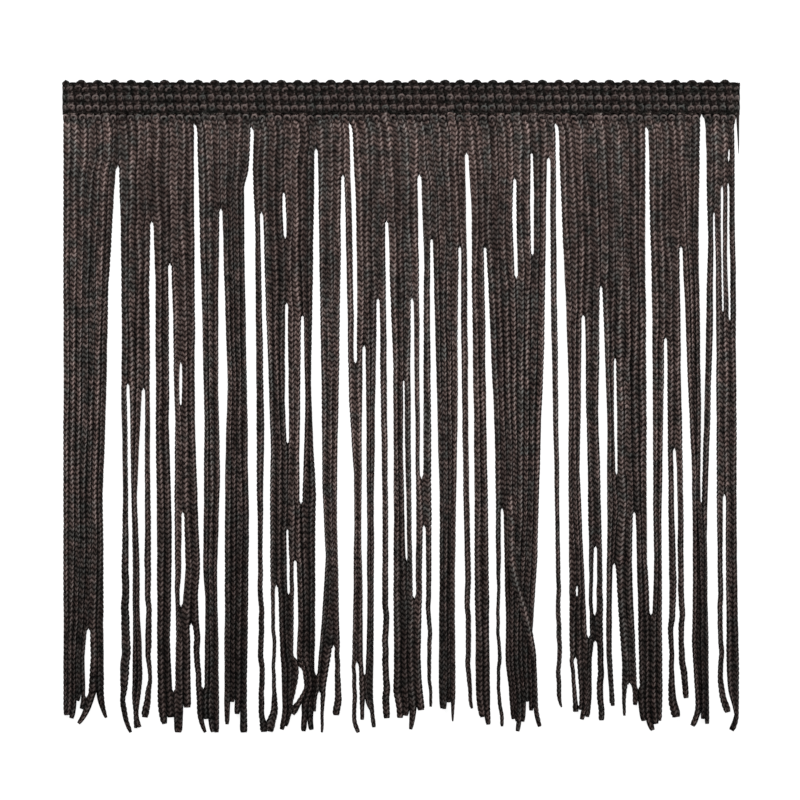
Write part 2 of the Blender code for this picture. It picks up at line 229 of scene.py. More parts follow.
# The cut tips, lane by lane from the left: how far across from the middle, how deep, over what length
# the strand turns towards it, and what share of its thickness is left by then.
Tip = namedtuple("Tip", "across depth reach thick", defaults=(6.5, 0.9))
TIPS = (
    (-78.5, 148.4), (-77.8, 148.3, 8), (-77.1, 149.1, 9), (-75.6, 145.0, 4), (-74.7, 146.9, 5),
    (-75.4, 150.3, 9, 0.5), (-68.9, 149.0, 8, 0.4), (-63.0, 152.4, 6.5, 0.6), (-62.0, 151.4),
    (-60.9, 151.1, 4), (-59.8, 148.9, 6, 0.8), (-55.2, 150.4, 5, 0.7), (-53.8, 148.9),
    (-52.1, 152.4, 6.5, 0.8), (-49.9, 146.6), (-45.8, 152.4, 5, 0.6), (-45.6, 149.3, 4),
    (-43.9, 152.3), (-43.1, 152.4), (-40.7, 150.5, 5, 0.7), (-39.6, 145.3), (-38.3, 148.1),
    (-36.7, 152.4, 6.5, 1.3), (-32.1, 152.3), (-30.8, 152.2), (-27.9, 151.7), (-27.0, 150.9),
    (-26.3, 149.0), (-25.5, 148.1, 4.0, 0.8), (-22.8, 152.1), (-20.9, 151.8), (-20.3, 147.5),
    (-18.35, 152.4, 6.5, 0.8), (-15.0, 148.4, 6.5, 1.1), (-10.0, 152.4, 6.5, 1.2),
    (-9.1, 149.4, 6.5, 1.2), (-6.9, 147.4), (-6.3, 151.2, 6.5, 1.1), (-3.3, 149.1),
    (-0.3, 149.0), (0.9, 148.5), (2.2, 151.7, 6.5, 0.55), (4.7, 147.2, 6.5, 1.1), (6.9, 146.4),
    (9.5, 146.8), (10.1, 146.9), (11.1, 145.4), (12.1, 149.8, 6, 0.4), (16.6, 146.8, 8, 0.7),
    (19.1, 148.8), (20.4, 150.6, 6, 0.6), (23.6, 151.0, 7, 0.7), (26.2, 149.3), (27.2, 149.8),
    (27.2, 152.1), (28.4, 149.9), (29.4, 145.2), (30.4, 147.3), (32.4, 151.0),
    (37.5, 146.5, 3, 0.5), (40.8, 147.6), (42.0, 147.1), (42.2, 149.4), (43.5, 148.8),
    (46.8, 149.6), (49.0, 145.5), (49.5, 146.2), (52.1, 148.5, 6.5, 0.7), (54.6, 146.0),
    (56.6, 149.7, 5, 0.75), (58.8, 151.9, 5, 0.8), (59.6, 150.4), (60.3, 149.7),
    (64.2, 148.8, 11, 1.8), (66.8, 144.4, 9, 0.65), (67.9, 150.8, 5, 1.2), (69.3, 148.7),
    (70.4, 149.2), (71.5, 150.4, 6.5, 1.2), (76.3, 147.7, 6.5, 0.75), (78.3, 148.6),
    (77.2, 151.9, 4.5, 1.6),
)
# A cut end is still this share of the cord's width, and draws in over this length.
TIP_SHARE = 0.75
TIP_ROUNDING = 1.0

# A strand that lies over its neighbours where it goes from its own lane onto another. They spread out
# under it, so that no lane is left bare. Where it is lifted, its tone is painted lighter by its last
# number, as painted light on its top.
Crossing = namedtuple("Crossing", "strand onto starts ends lift tone")
CROSSINGS = (Crossing(53, 58, 110.5, 136.0, 1.6, 1.6),)
# It lifts off over this length above the crossing, and its neighbours close up behind it over the
# same length, most of it before the crossing. It is this much wider where nothing presses on it.
CLOSING_UP = 14.0
CLOSING_LEAD = 0.8
CROSSING_SPREAD = 0.55


def height_up(depth):
    return TOP - depth


def linear(hex_colour):
    """An sRGB hex colour as linear values."""
    parts = [int(hex_colour[place : place + 2], 16) / 255 for place in (1, 3, 5)]
    levels = [part / 12.92 if part <= 0.04045 else ((part + 0.055) / 1.055) ** 2.4 for part in parts]
    return (*levels, 1.0)


# Materials

MATHS = "ShaderNodeMath"
MIX = "ShaderNodeMix"
NOISE = "ShaderNodeTexNoise"
ATTRIBUTE = "ShaderNodeAttribute"
# From groove to crest of an arm of a V, and of a stitch, as the first map counts them.
HALF_ARM = 0.25
HALF_STITCH = 0.5
# How the waves and noises are drawn out: socket 1 multiplies them and socket 2 is added.
ARM_WAVE = {1: 2.0, 2: 0.48}
STITCH_WAVE = {1: 1.85, 2: 0.07}
SIDE_LIGHT_WAVE = {1: 0.44, 2: 1.0}
FILAMENT_LIGHT = {1: 1.4, 2: -0.85}
DYE_CONTRAST = {1: 3.0, 2: -1.55}
TENSION_LIGHT = 2.4
OWN_DYE = 0.7
FILAMENT_RELIEF = 0.5
# Stitches that are drawn even all come near this brightness. The colours of a hollow, with its painted
# shade, of the body, and of a crest, with its painted highlight, stand at these places on the same
# scale.
EVEN_BRIGHTNESS = 0.45
HOLLOW_AT = 0.1
BODY_AT = 0.5
CREST_AT = 0.95
# How high the pattern stands, in millimetres, and how firmly it is shown.
RELIEF_HEIGHT = 0.16
RELIEF_STRENGTH = 0.8
# The filaments are loose, so a cord has next to no gloss and only a trace of sheen.
SOFT_FINISH = {"Specular IOR Level": 0.05, "Sheen Weight": 0.02, "Sheen Roughness": 0.45}
# The floor glows a little, so it stays pale. In millimetres, its width, and how large the clouds in
# its milky plastic are.
FLOOR_FINISH = {
    "Roughness": 0.9,
    "Specular IOR Level": 0.1,
    "Emission Color": (1.0, 1.0, 1.0, 1.0),
    "Emission Strength": 0.9,
}
FLOOR_WIDTH = 6000.0
FLOOR_CLOUD = 150.0


def add(tree, kind, sockets=None, **settings):
    """Adds a node, with its settings, and the values or links of its sockets. A whole node given for
    a socket stands for its first output."""
    made = tree.nodes.new(kind)
    for name, value in settings.items():
        setattr(made, name, value)
    for name, value in (sockets or {}).items():
        if isinstance(value, bpy.types.Node):
            tree.links.new(value.outputs[0], made.inputs[name])
        elif isinstance(value, bpy.types.NodeSocket):
            tree.links.new(value, made.inputs[name])
        else:
            made.inputs[name].default_value = value
    return made


def per_metre(size):
    """How many cells of a pattern go in a metre, each of them this many millimetres wide."""
    return 1 / (size * MM)


def new_material(name, finish):
    """A material with these values on its shader's sockets, with its tree and its shader."""
    material = bpy.data.materials.new(name)
    material.use_nodes = True
    shader = material.node_tree.nodes["Principled BSDF"]
    for socket, value in finish.items():
        shader.inputs[socket].default_value = value
    return material, material.node_tree, shader


def knitted_viscose(name, hollow, body, crest, cool, roughness):
    """Viscose filament knitted into a soft cord, never glossy, because the fibres are loose. Its colour
    holds painted shade between the stitches and a painted highlight along the arms of each V, where the
    filaments catch the light."""
    material, tree, shader = new_material(name, {"Roughness": roughness, **SOFT_FINISH})

    # Both waves are highest along the middle of an arm, and low in the grooves round it, so they set the
    # painted highlight and the painted shade.
    stitches = add(tree, "ShaderNodeUVMap", uv_map="Stitches")
    place = add(tree, "ShaderNodeSeparateXYZ", {0: stitches})
    across = add(tree, MATHS, {0: place, 1: HALF_ARM}, operation="PINGPONG")
    along = add(tree, MATHS, {0: place.outputs[1], 1: HALF_STITCH}, operation="PINGPONG")
    arm = add(tree, MATHS, {0: across, **ARM_WAVE}, operation="MULTIPLY_ADD")
    swell = add(tree, MATHS, {0: along, **STITCH_WAVE}, operation="MULTIPLY_ADD")
    raised = add(tree, MATHS, {0: arm, 1: swell}, operation="MULTIPLY")

    # Painted light from one side: the right arm of each V is drawn lighter and the left one duller.
    turned = add(tree, MATHS, {0: place, 1: math.tau}, operation="MULTIPLY")
    side = add(tree, MATHS, {0: turned}, operation="SINE")
    painted_side_light = add(tree, MATHS, {0: side, **SIDE_LIGHT_WAVE}, operation="MULTIPLY_ADD")

    # The filaments are 0.02 mm wide. They are drawn in bundles of 0.35 mm, coarse enough to show.
    solid = add(tree, "ShaderNodeTexCoord").outputs["Object"]
    grain = {"Scale": per_metre(FILAMENT_BUNDLE), "Detail": 2.0, "Roughness": 0.6}
    filaments = add(tree, NOISE, {"Vector": solid, **grain})
    # Some stitches are drawn tighter than others, and lie deeper.
    tension = add(tree, NOISE, {"Vector": solid, "Scale": per_metre(STITCH), "Detail": 1.0})
    uneven = add(tree, MATHS, {0: filaments, **FILAMENT_LIGHT}, operation="MULTIPLY_ADD")
    loose = add(tree, MATHS, {0: tension, 1: TENSION_LIGHT, 2: uneven}, operation="MULTIPLY_ADD")
    bright = add(tree, MATHS, {0: raised, 1: painted_side_light}, operation="MULTIPLY")
    lit = add(tree, MATHS, {0: bright, 1: loose}, operation="MULTIPLY")

    # Where the stitches are drawn even, they show less.
    evenness = add(tree, ATTRIBUTE, attribute_name="evenness").outputs["Fac"]
    shown = add(tree, MIX, {0: evenness, 2: lit, 3: EVEN_BRIGHTNESS}, data_type="FLOAT")

    colours = add(tree, "ShaderNodeValToRGB", {0: shown})
    ramp = colours.color_ramp
    ramp.elements[0].position = HOLLOW_AT
    ramp.elements[0].color = linear(hollow)
    ramp.elements[1].position = CREST_AT
    ramp.elements[1].color = linear(crest)
    ramp.elements.new(BODY_AT).color = linear(body)

    # Black dye takes unevenly, so short lengths of the yarn lean to green and others to brown.
    patches = add(tree, NOISE, {"Vector": solid, "Scale": per_metre(DYE_PATCH), "Detail": 1.0})
    own = add(tree, ATTRIBUTE, attribute_name="coolness").outputs["Fac"]
    dyed = add(tree, MATHS, {0: patches, **DYE_CONTRAST}, operation="MULTIPLY_ADD")
    shares = {0: own, 1: OWN_DYE, 2: dyed}
    cool_share = add(tree, MATHS, shares, operation="MULTIPLY_ADD", use_clamp=True)
    dyes = {0: cool_share, 6: colours, 7: linear(cool)}
    tinted = add(tree, MIX, dyes, data_type="RGBA", blend_type="MULTIPLY").outputs[2]
    tone = add(tree, ATTRIBUTE, attribute_name="tone").outputs["Color"]
    toned = add(tree, MIX, {0: 1.0, 6: tinted, 7: tone}, data_type="RGBA", blend_type="MULTIPLY")
    tree.links.new(toned.outputs[2], shader.inputs["Base Color"])

    relief = add(tree, MATHS, {0: filaments, 1: FILAMENT_RELIEF, 2: lit}, operation="MULTIPLY_ADD")
    depth = {"Strength": RELIEF_STRENGTH, "Distance": RELIEF_HEIGHT * MM}
    bump = add(tree, "ShaderNodeBump", {**depth, "Height": relief})
    tree.links.new(bump.outputs[0], shader.inputs["Normal"])
    return material


def pale_floor():
    """Milk-white light table, lit from below, so that the trim's shadows on it stay faint."""
    material, tree, shader = new_material("milk_white_light_table", FLOOR_FINISH)
    # The pattern is counted over the floor's whole width.
    cloud = add(tree, NOISE, {"Scale": FLOOR_WIDTH / FLOOR_CLOUD, "Detail": 2.0})
    board = add(tree, MIX, {0: cloud, 6: linear("#8b8b8b"), 7: linear("#909090")}, data_type="RGBA")
    tree.links.new(board.outputs[2], shader.inputs["Base Color"])
    return material


# Shapes

# A tube's direction is taken over this much to each side, and its last two rings are this far apart
# at least.
NEARBY = 0.05
LAST_RING = 0.1
# A yarn with no knit in it: its sides, the share of its thickness that its ends have, and the part of
# the first map that it takes, which is the crest of one arm.
YARN_SIDES = 6
YARN_END = 0.6
CREST_ACROSS = (0.15, 0.35)
CREST_ALONG = (0.25, 0.75)
# The second map: how many times taller than wide its columns are, and the margin in each of them.
COLUMN_SHAPE = 12
COLUMN_MARGIN = 0.03


def along_path(path):
    """How far along the path each of its points is."""
    steps = np.linalg.norm(np.diff(path, axis=0), axis=1)
    return np.concatenate([[0.0], np.cumsum(steps)])


def at(places, known, values):
    """The values at these places, from those at the known places or from one that holds for all."""
    return np.interp(places, known, np.broadcast_to(values, np.shape(known)))


def smooth(share):
    share = np.clip(share, 0, 1)
    return share * share * (3 - 2 * share)


def end_corners(sides):
    """The end of a tube as faces with four corners."""
    steps = range(sides // 2 - 1)
    return np.array([(step, step + 1, sides - 2 - step, sides - 1 - step) for step in steps])


def tube_faces(rings, sides):
    """Corners of the faces of a closed tube: its wall, then its two ends."""
    ring, side = np.meshgrid(np.arange(rings - 1), np.arange(sides), indexing="ij")
    following = (side + 1) % sides
    here, below = ring * sides, (ring + 1) * sides
    wall = np.stack([here + side, below + side, below + following, here + following], -1)
    first = end_corners(sides)
    last = first[:, ::-1] + (rings - 1) * sides
    return np.concatenate([wall.reshape(-1, 4), first, last])


def corner_map(columns, rows):
    """A map of a closed tube, with a place for each corner of each face. There is a row for each ring,
    and one column more than the tube has sides."""
    rings, sides = len(rows), len(columns) - 1
    table = np.stack(np.broadcast_arrays(columns[None, :], rows[:, None]), -1)
    ring, side = np.meshgrid(np.arange(rings - 1), np.arange(sides), indexing="ij")
    wall = np.stack(
        [table[ring, side], table[ring + 1, side], table[ring + 1, side + 1], table[ring, side + 1]], 2
    )
    first = end_corners(sides)
    return np.concatenate([wall.reshape(-1, 4, 2), table[0, first], table[-1, first[:, ::-1]]])


Body = namedtuple("Body", "points faces stitches strip tone coolness evenness")


def swept(path, width, height, turn, places, leans, angles, relief):
    """Points of a tube swept along a path that lies level, for rings at these places along it."""
    known = along_path(path)
    where = np.clip(places[:, None] + leans[None, :], 0.0, known[-1])
    ahead = np.clip(where + NEARBY, 0.0, known[-1])
    behind = np.clip(where - NEARBY, 0.0, known[-1])
    centre = np.stack([at(where, known, way) for way in path.T], -1)
    run = np.stack([at(ahead, known, way) - at(behind, known, way) for way in path.T[:2]], -1)
    run /= np.maximum(np.linalg.norm(run, axis=-1, keepdims=True), 1e-9)
    angle = angles[None, :] + at(places, known, turn)[:, None]
    across = at(where, known, width) / 2 * relief * np.sin(angle)
    centre[..., 0] += -run[..., 1] * across
    centre[..., 1] += run[..., 0] * across
    centre[..., 2] += at(where, known, height) / 2 * relief * np.cos(angle)
    return centre.reshape(-1, 3)


def knit_cord(
    path, width, height, turn, sides_free, faces_up, tone, coolness, crevice=CREVICE, evenness=0.0
):
    """A cord of knitted stitches. Its rings of points follow the Vs, so every arm is an edge of the
    mesh, with a groove to each side of it. A side that presses on a neighbour has no grooves."""
    known = along_path(path)
    total = known[-1]
    spacing = STITCH / RINGS_PER_STITCH * seeded.uniform(0.95, 1.05)
    phase = seeded.uniform(0, RINGS_PER_STITCH)
    places = (np.arange(int(total / spacing) + 2) + phase % 1.0) * spacing
    places = np.append(places[places < total - LAST_RING], total)
    step = np.arange(len(places)) + int(phase)
    around = np.array(AROUND)
    angles = np.radians(around)
    wale = around / (360 / WALES) + (0.0 if faces_up else 0.5)
    rise = np.abs((wale + 0.5) % 1.0 - 0.5) * 2
    leans = STITCH * V_RISE * (0.5 - rise)
    groove = np.array(RING_GROOVES)[step % RINGS_PER_STITCH]
    # The underside has no points along the arms, only between them, so its grooves are half as deep.
    between = np.where(around % ARM_ANGLE == 0, ARM_GROOVE, 0.0)
    between[np.abs(around) > 90] /= 2
    sideways = np.sin(angles[None, :] + at(places, known, turn)[:, None])
    left_free, right_free = (at(places, known, free)[:, None] for free in sides_free)
    free = np.where(sideways < 0, left_free, right_free)
    pressed = np.abs(sideways) ** 3 * (1 - free)
    relief = 1 - (groove[:, None] + between[None, :]) * (1 - pressed)
    # Painted shade: little light gets down between cords that press together, or down the side of a free
    # one, so their tone is darkened there.
    deep = np.clip((np.abs(sideways) - CREVICE_FROM) / (1 - CREVICE_FROM), 0, 1)
    between_cords = at(places, known, crevice)[:, None]
    darkest = between_cords + (FREE_SIDE_SHADE - between_cords) * free
    shaded = 1 - darkest * np.minimum(1, CREVICE_GAIN * deep**CREVICE_POWER)
    points = swept(path, width, height, turn, places, leans, angles, relief)
    return Body(
        points,
        tube_faces(len(places), len(around)),
        corner_map(np.append(wale, wale[0] + WALES), step / RINGS_PER_STITCH),
        corner_map((np.append(around, around[0] + 360) - around[0]) / 360, places / total),
        (at(places, known, tone)[:, None] * shaded).ravel(),
        np.full(len(points), coolness),
        np.repeat(at(places, known, evenness), len(around)),
    )


def plain_yarn(path, thickness, tone, coolness, spacing=0.25):
    """A yarn with no knit in it, for a drawn-up loop or a binding stitch."""
    known = along_path(path)
    rings = max(3, int(known[-1] / spacing) + 1)
    places = np.linspace(0.0, known[-1], rings)
    angles = np.radians(np.arange(YARN_SIDES) * 360 / YARN_SIDES + 180 / YARN_SIDES - 180)
    ends = np.ones((rings, YARN_SIDES))
    ends[[0, -1]] = YARN_END
    points = swept(path, thickness, thickness, 0.0, places, np.zeros(YARN_SIDES), angles, ends)
    return Body(
        points,
        tube_faces(rings, YARN_SIDES),
        corner_map(np.linspace(*CREST_ACROSS, YARN_SIDES + 1), np.linspace(*CREST_ALONG, rings)),
        corner_map(np.linspace(0, 1, YARN_SIDES + 1), np.linspace(0, 1, rings)),
        np.repeat(at(places, known, tone), YARN_SIDES),
        np.full(len(points), coolness),
        np.zeros(len(points)),
    )


def joined(bodies, part):
    """One part of every body in turn."""
    return np.concatenate([getattr(body, part) for body in bodies]).astype(np.float32)


def make_piece(name, bodies, material, slot, *nodes):
    """Joins the bodies into one piece that stands for these nodes of the frame. Its second map lays
    each body out in its own column."""
    starts = np.cumsum([0] + [len(body.points) for body in bodies])
    points = np.concatenate([body.points for body in bodies]) * MM
    faces = np.concatenate([body.faces + start for body, start in zip(bodies, starts)])
    mesh = bpy.data.meshes.new(name)
    mesh.vertices.add(len(points))
    mesh.vertices.foreach_set("co", points.astype(np.float32).ravel())
    mesh.loops.add(faces.size)
    mesh.loops.foreach_set("vertex_index", faces.astype(np.int32).ravel())
    mesh.polygons.add(len(faces))
    mesh.polygons.foreach_set("loop_start", np.arange(0, faces.size, 4, dtype=np.int32))
    mesh.update(calc_edges=True)
    mesh.polygons.foreach_set("use_smooth", np.ones(len(faces), bool))

    stitches = mesh.uv_layers.new(name="Stitches")
    stitches.data.foreach_set("uv", joined(bodies, "stitches").ravel())
    rows = max(1, round(math.sqrt(len(bodies) / COLUMN_SHAPE)))
    columns = math.ceil(len(bodies) / rows)
    laid = []
    for number, body in enumerate(bodies):
        corner = np.array([number % columns, number // columns])
        strip = body.strip * (1 - 2 * COLUMN_MARGIN) + COLUMN_MARGIN
        laid.append((strip + corner) / np.array([columns, rows]))
    bake = mesh.uv_layers.new(name="OFBake")
    bake.data.foreach_set("uv", np.concatenate(laid).astype(np.float32).ravel())
    mesh.uv_layers.active = stitches
    stitches.active_render = True

    # The tone holds each body's own lightness together with its painted shade and painted light.
    tone = joined(bodies, "tone")
    greys = np.stack([tone, tone, tone, np.ones(len(tone), np.float32)], -1)
    tones = mesh.attributes.new("tone", "FLOAT_COLOR", "POINT")
    tones.data.foreach_set("color", greys.ravel())
    for share in ("coolness", "evenness"):
        shares = mesh.attributes.new(share, "FLOAT", "POINT")
        shares.data.foreach_set("value", joined(bodies, share))
    mesh.validate()
    mesh.materials.append(material)
    piece = bpy.data.objects.new(name, mesh)
    bpy.context.scene.collection.objects.link(piece)
    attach(piece, "root")
    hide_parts(*nodes)
    return piece


# The skirt


def drawn_gap(width):
    return max(width - GLARE, NARROWEST_GAP)


def parting_stations():
    """Each parting's stations (depth, width, lean), listed under the strand that it follows."""
    stations = {}
    for row in PARTINGS:
        parting = Parting(*row)
        known = stations.setdefault(parting.after, [(ROOT_DEPTH, 0.0, parting.top_lean)])
        blunt = drawn_gap(min(BLUNT_WIDTH, BLUNT_SHARE * parting.width))
        if parting.opens > known[-1][0]:
            known.append((parting.opens, 0.0, parting.top_lean))
            known.append((parting.opens + BLUNT_STEP, blunt, parting.top_lean))
        known.append((parting.widest_at, drawn_gap(parting.width), parting.mid_lean))
        if parting.foot_width > 0:
            known.append((parting.ends, drawn_gap(parting.foot_width), parting.foot_lean))
        else:
            known.append((parting.ends - BLUNT_STEP, blunt, parting.foot_lean))
            known.append((parting.ends, 0.0, parting.foot_lean))
    return stations


def width_and_lean(stations, depth):
    depths, widths, leans = zip(*stations)
    return at(depth, depths, widths), at(depth, depths, leans)


def pull_of(stations, depth):
    """How far a parting that is closed at this depth still draws the strands to its place, from 0 to
    1. It does so just above where it opens, and just below where it closes."""
    pull = 0.0
    for (above, width, _), (below, next_width, _) in zip(stations, stations[1:]):
        if width == 0 and next_width > 0 and depth <= above:
            pull = max(pull, 1 - (above - depth) / PULL_ABOVE)
        if width > 0 and next_width == 0 and depth >= below:
            pull = max(pull, 1 - (depth - below) / PULL_BELOW)
    return smooth(pull)


Bunch = namedtuple("Bunch", "first end left right left_open right_open")


def bunches_at(depth, stations):
    """The bunches at this depth. An edge that isn't open is where two bunches press together."""
    right_end = LEFT + LENGTH - at(depth, RIGHT_EDGE_DEPTHS, RIGHT_EDGE_INSETS)
    open_here = [(0, LEFT, LEFT)]
    closed_here = []
    for after in sorted(stations):
        width, lean = width_and_lean(stations[after], depth)
        middle = LEFT + PITCH * after + lean
        if width > 0:
            open_here.append((after, middle - width / 2, middle + width / 2))
        else:
            closed_here.append((after, middle, pull_of(stations[after], depth)))
    open_here.append((STRANDS, right_end, right_end))
    edges = list(open_here)
    for after, middle, pull in closed_here:
        before = max(edge for edge in open_here if edge[0] < after)
        beyond = min(edge for edge in open_here if edge[0] > after)
        even = before[2] + (beyond[1] - before[2]) * (after - before[0]) / (beyond[0] - before[0])
        place = even + (middle - even) * pull
        edges.append((after, place, place))
    edges.sort()
    bunches = []
    for (first, before, left), (end, right, beyond) in zip(edges, edges[1:]):
        left_open = first == 0 or before < left
        right_open = end == STRANDS or right < beyond
        bunches.append(Bunch(first, end, left, right, left_open, right_open))
    return bunches


# What drifts along a cord: over what length it comes and goes, and by how much.
Drift = namedtuple("Drift", "reach size")
DRIFT_WAVES = (1.0, 0.55, 0.31)
SIDEWAYS = Drift(23.0, 0.05)
SLOW_WIDTH = Drift(17.0, 0.03)
QUICK_WIDTH = Drift(5.0, 0.03)
LIFT = Drift(31.0, 0.08)
SWAY = Drift(14.0, 0.22)
TURNING = Drift(60.0, math.radians(30))
SHADE = Drift(27.0, 0.24)
COURSE_SIDEWAYS = Drift(9.0, 0.04)


def wander(depths, drift):
    """A slow random drift along a strand, about nought."""
    total = np.zeros(len(depths))
    for length in DRIFT_WAVES:
        start = seeded.uniform(0, 2 * math.pi)
        total += np.sin(depths / (drift.reach * length) * 2 * math.pi + start) * length
    return total * drift.size / sum(DRIFT_WAVES)


def eased(values, steps):
    """A running mean, with the ends held."""
    held = np.pad(values, steps, mode="edge")
    window = np.ones(2 * steps + 1) / (2 * steps + 1)
    return np.convolve(held, window, mode="valid")


Lanes = namedtuple("Lanes", "middle width room left_free right_free")
# Over how many steps up and down each of them is evened out.
EASED_OVER = Lanes(3, 4, 4, 2, 2)


def skirt_lanes(depths):
    """Where every strand lies at these depths: its middle, its width, its room, and how free its
    sides are of a neighbour."""
    stations = parting_stations()
    lanes = Lanes(*[np.zeros((STRANDS, len(depths))) for _ in Lanes._fields])
    for step, depth in enumerate(depths):
        for bunch in bunches_at(depth, stations):
            count = bunch.end - bunch.first
            left = bunch.left - (0 if bunch.left_open else LAP)
            right = bunch.right + (0 if bunch.right_open else LAP)
            across = right - left
            fitting = across / count * (PRESSED if count > 1 else 1.0)
            widest = min(CORD_WIDTH * SEEN_WIDTH, max(across, SQUEEZED_CORD))
            seen = min(max(fitting, NARROWEST_CORD), widest)
            room = (across - seen) / (count - 1) if count > 1 else seen
            loose = count == 1 and bunch.left_open and bunch.right_open
            crowding = seen if loose else min(room, across / count)
            for place in range(count):
                middle = left + seen / 2 + room * place if count > 1 else (left + right) / 2
                left_free = float(place == 0 and bunch.left_open)
                right_free = float(place == count - 1 and bunch.right_open)
                found = Lanes(middle, seen / SEEN_WIDTH, crowding, left_free, right_free)
                for row, value in zip(lanes, found):
                    row[bunch.first + place, step] = value
    for row, steps in zip(lanes, EASED_OVER):
        for lane in range(STRANDS):
            row[lane] = eased(row[lane], steps)
    fit_gaps(lanes, stations, depths)
    return lanes


def fit_gaps(lanes, stations, depths):
    """Moves the edges of the two strands beside each parting, so that it is as wide as it should be
    at every depth, and opens and closes bluntly."""
    for after, known in stations.items():
        wanted = np.array([width_and_lean(known, depth)[0] for depth in depths])
        before = lanes.middle[after - 1] + lanes.width[after - 1] * SEEN_WIDTH / 2
        beyond = lanes.middle[after] - lanes.width[after] * SEEN_WIDTH / 2
        missing = wanted - (beyond - before)
        give = np.where(wanted > 0, missing, np.minimum(missing - LAP, 0)) / 2
        for strand, side in ((after - 1, -1), (after, 1)):
            lanes.middle[strand] += side * give / 2
            lanes.width[strand] -= give / SEEN_WIDTH


Route = namedtuple("Route", "lane last_lane passed raised lightened spread")


def route_of(strand, depths):
    """The lane that a strand is in above any crossing, the one that it is in below it, how far it has
    gone from the one to the other, how high it is lifted there, how much painted light it gets, and how
    much it spreads out."""
    flat = np.zeros(len(depths))
    for crossing in CROSSINGS:
        passed = smooth((depths - crossing.starts) / (crossing.ends - crossing.starts))
        if crossing.strand < strand <= crossing.onto:
            lanes = crossing.onto - crossing.strand
            nearness = (crossing.onto + 1 - strand) / lanes
            closing = smooth((depths - crossing.starts) / CLOSING_UP + CLOSING_LEAD)
            share = nearness * closing + (1 - nearness) * passed
            return Route(strand, strand - 1, share, flat, flat + 1, 1 + (closing - passed) / lanes)
        if strand == crossing.strand:
            lifted_from = crossing.starts - CLOSING_UP
            over = np.clip((depths - lifted_from) / (crossing.ends - lifted_from), 0, 1)
            raised = np.sin(math.pi * over) ** 0.5
            lightened = 1 + (crossing.tone - 1) * raised
            spread = 1 + CROSSING_SPREAD * raised
            return Route(strand, crossing.onto, passed, crossing.lift * raised, lightened, spread)
    return Route(strand, strand, flat, flat, flat + 1, flat + 1)


# Painted shade along a strand, as how light it is at each depth: dark by the heading, lightest where it
# lies flat, and darker again towards the tips.
TONE_DEPTHS = (0.0, 1.2, 2.6, 8.0, 12.0, 30.0, 70.0, 100.0, 120.0, 140.0, 153.0)
TONES = (0.6, 0.8, 0.95, 1.5, 1.7, 1.29, 1.56, 1.25, 0.88, 0.64, 0.63)
# Painted shade between the cords, by depth. Just below the heading the cords lie level and light gets
# between them, so it is lighter there, and their stitches are even.
CREVICE_DEPTHS = (14.0, 38.0, 60.0)
CREVICES = (0.5, 0.66, 0.96)
EVENNESS = (0.12, 0.08, 0.0)
# The strands differ in how light they are, in how far they are turned, in degrees, and in whether a
# wale or the gap between two wales faces up.
STRAND_TONES = (0.68, 1.32)
STRAND_TURNS = (-12, 12)
WALE_UP_SHARE = 0.75
# The heading holds a strand still over this length. A strand with no neighbour sways where it hangs
# free: from this depth, and fully after this length more.
HELD_OVER = 12
LOOSE_FROM = 110.0
LOOSE_OVER = 15
# A strand beside a gap may thin to this share of the narrowest cord. Cords with less room than this
# share of their width ride up on each other. A path's last two points are this far apart at least.
THIN_SHARE = 0.8
RIDE_SHARE = 0.9
TIP_RING = 0.3


def strand_body(strand, depths, lanes):
    route = route_of(strand, depths)
    tip = Tip(*TIPS[route.last_lane])
    own = np.append(depths[depths < tip.depth - TIP_RING], tip.depth)
    middle, width, room, left_free, right_free = (
        at(own, depths, row[route.lane] * (1 - route.passed) + row[route.last_lane] * route.passed)
        for row in lanes
    )
    near = np.clip((own - (tip.depth - tip.reach)) / tip.reach, 0, 1)
    middle = middle * (1 - near**2) + tip.across * near**2
    calm = np.clip((own - ROOT_DEPTH) / HELD_OVER, 0, 1)
    middle = middle + wander(own, SIDEWAYS) * calm - at(own, LEAN_DEPTHS, LEANS)
    width = np.clip(width, NARROWEST_CORD * THIN_SHARE, CORD_WIDTH) * at(own, depths, route.spread)
    middle = np.maximum(middle, LEFT + width * SEEN_WIDTH / 2)
    width = width * (1 + wander(own, SLOW_WIDTH) + wander(own, QUICK_WIDTH))
    height = np.clip(CORD_BULK / width, *CORD_HEIGHTS)
    crowded = np.clip(1 - (room / (RIDE_SHARE * width)) ** 2, 0, 1)
    lift = height * np.sqrt(crowded) * (strand % 2) + np.abs(wander(own, LIFT)) * calm
    raised = at(own, depths, route.raised)
    lift = lift + raised
    alone = np.minimum(left_free, right_free) * np.clip((own - LOOSE_FROM) / LOOSE_OVER, 0, 1)
    middle = middle + wander(own, SWAY) * alone
    end = np.clip((tip.depth - own) / TIP_ROUNDING, 0, 1)
    shrink = (TIP_SHARE + (1 - TIP_SHARE) * np.sqrt(end)) * (1 + (tip.thick - 1) * near)
    path = np.stack([middle, height_up(own), lift + height * shrink / 2], -1)
    turn = wander(own, TURNING) + math.radians(seeded.uniform(*STRAND_TURNS))
    shade = at(own, TONE_DEPTHS, TONES) * seeded.uniform(*STRAND_TONES) * (1 + wander(own, SHADE))
    shade = shade * at(own, depths, route.lightened)
    # Nothing presses on a strand that lies on top.
    on_top = np.clip(raised, 0, 1)
    sides_free = (np.maximum(left_free, on_top), np.maximum(right_free, on_top))
    wale_up = seeded.random() < WALE_UP_SHARE
    return knit_cord(
        path, width * shrink, height * shrink, turn, sides_free, wale_up, shade, seeded.uniform(0, 1),
        at(own, CREVICE_DEPTHS, CREVICES), at(own, CREVICE_DEPTHS, EVENNESS),
    )


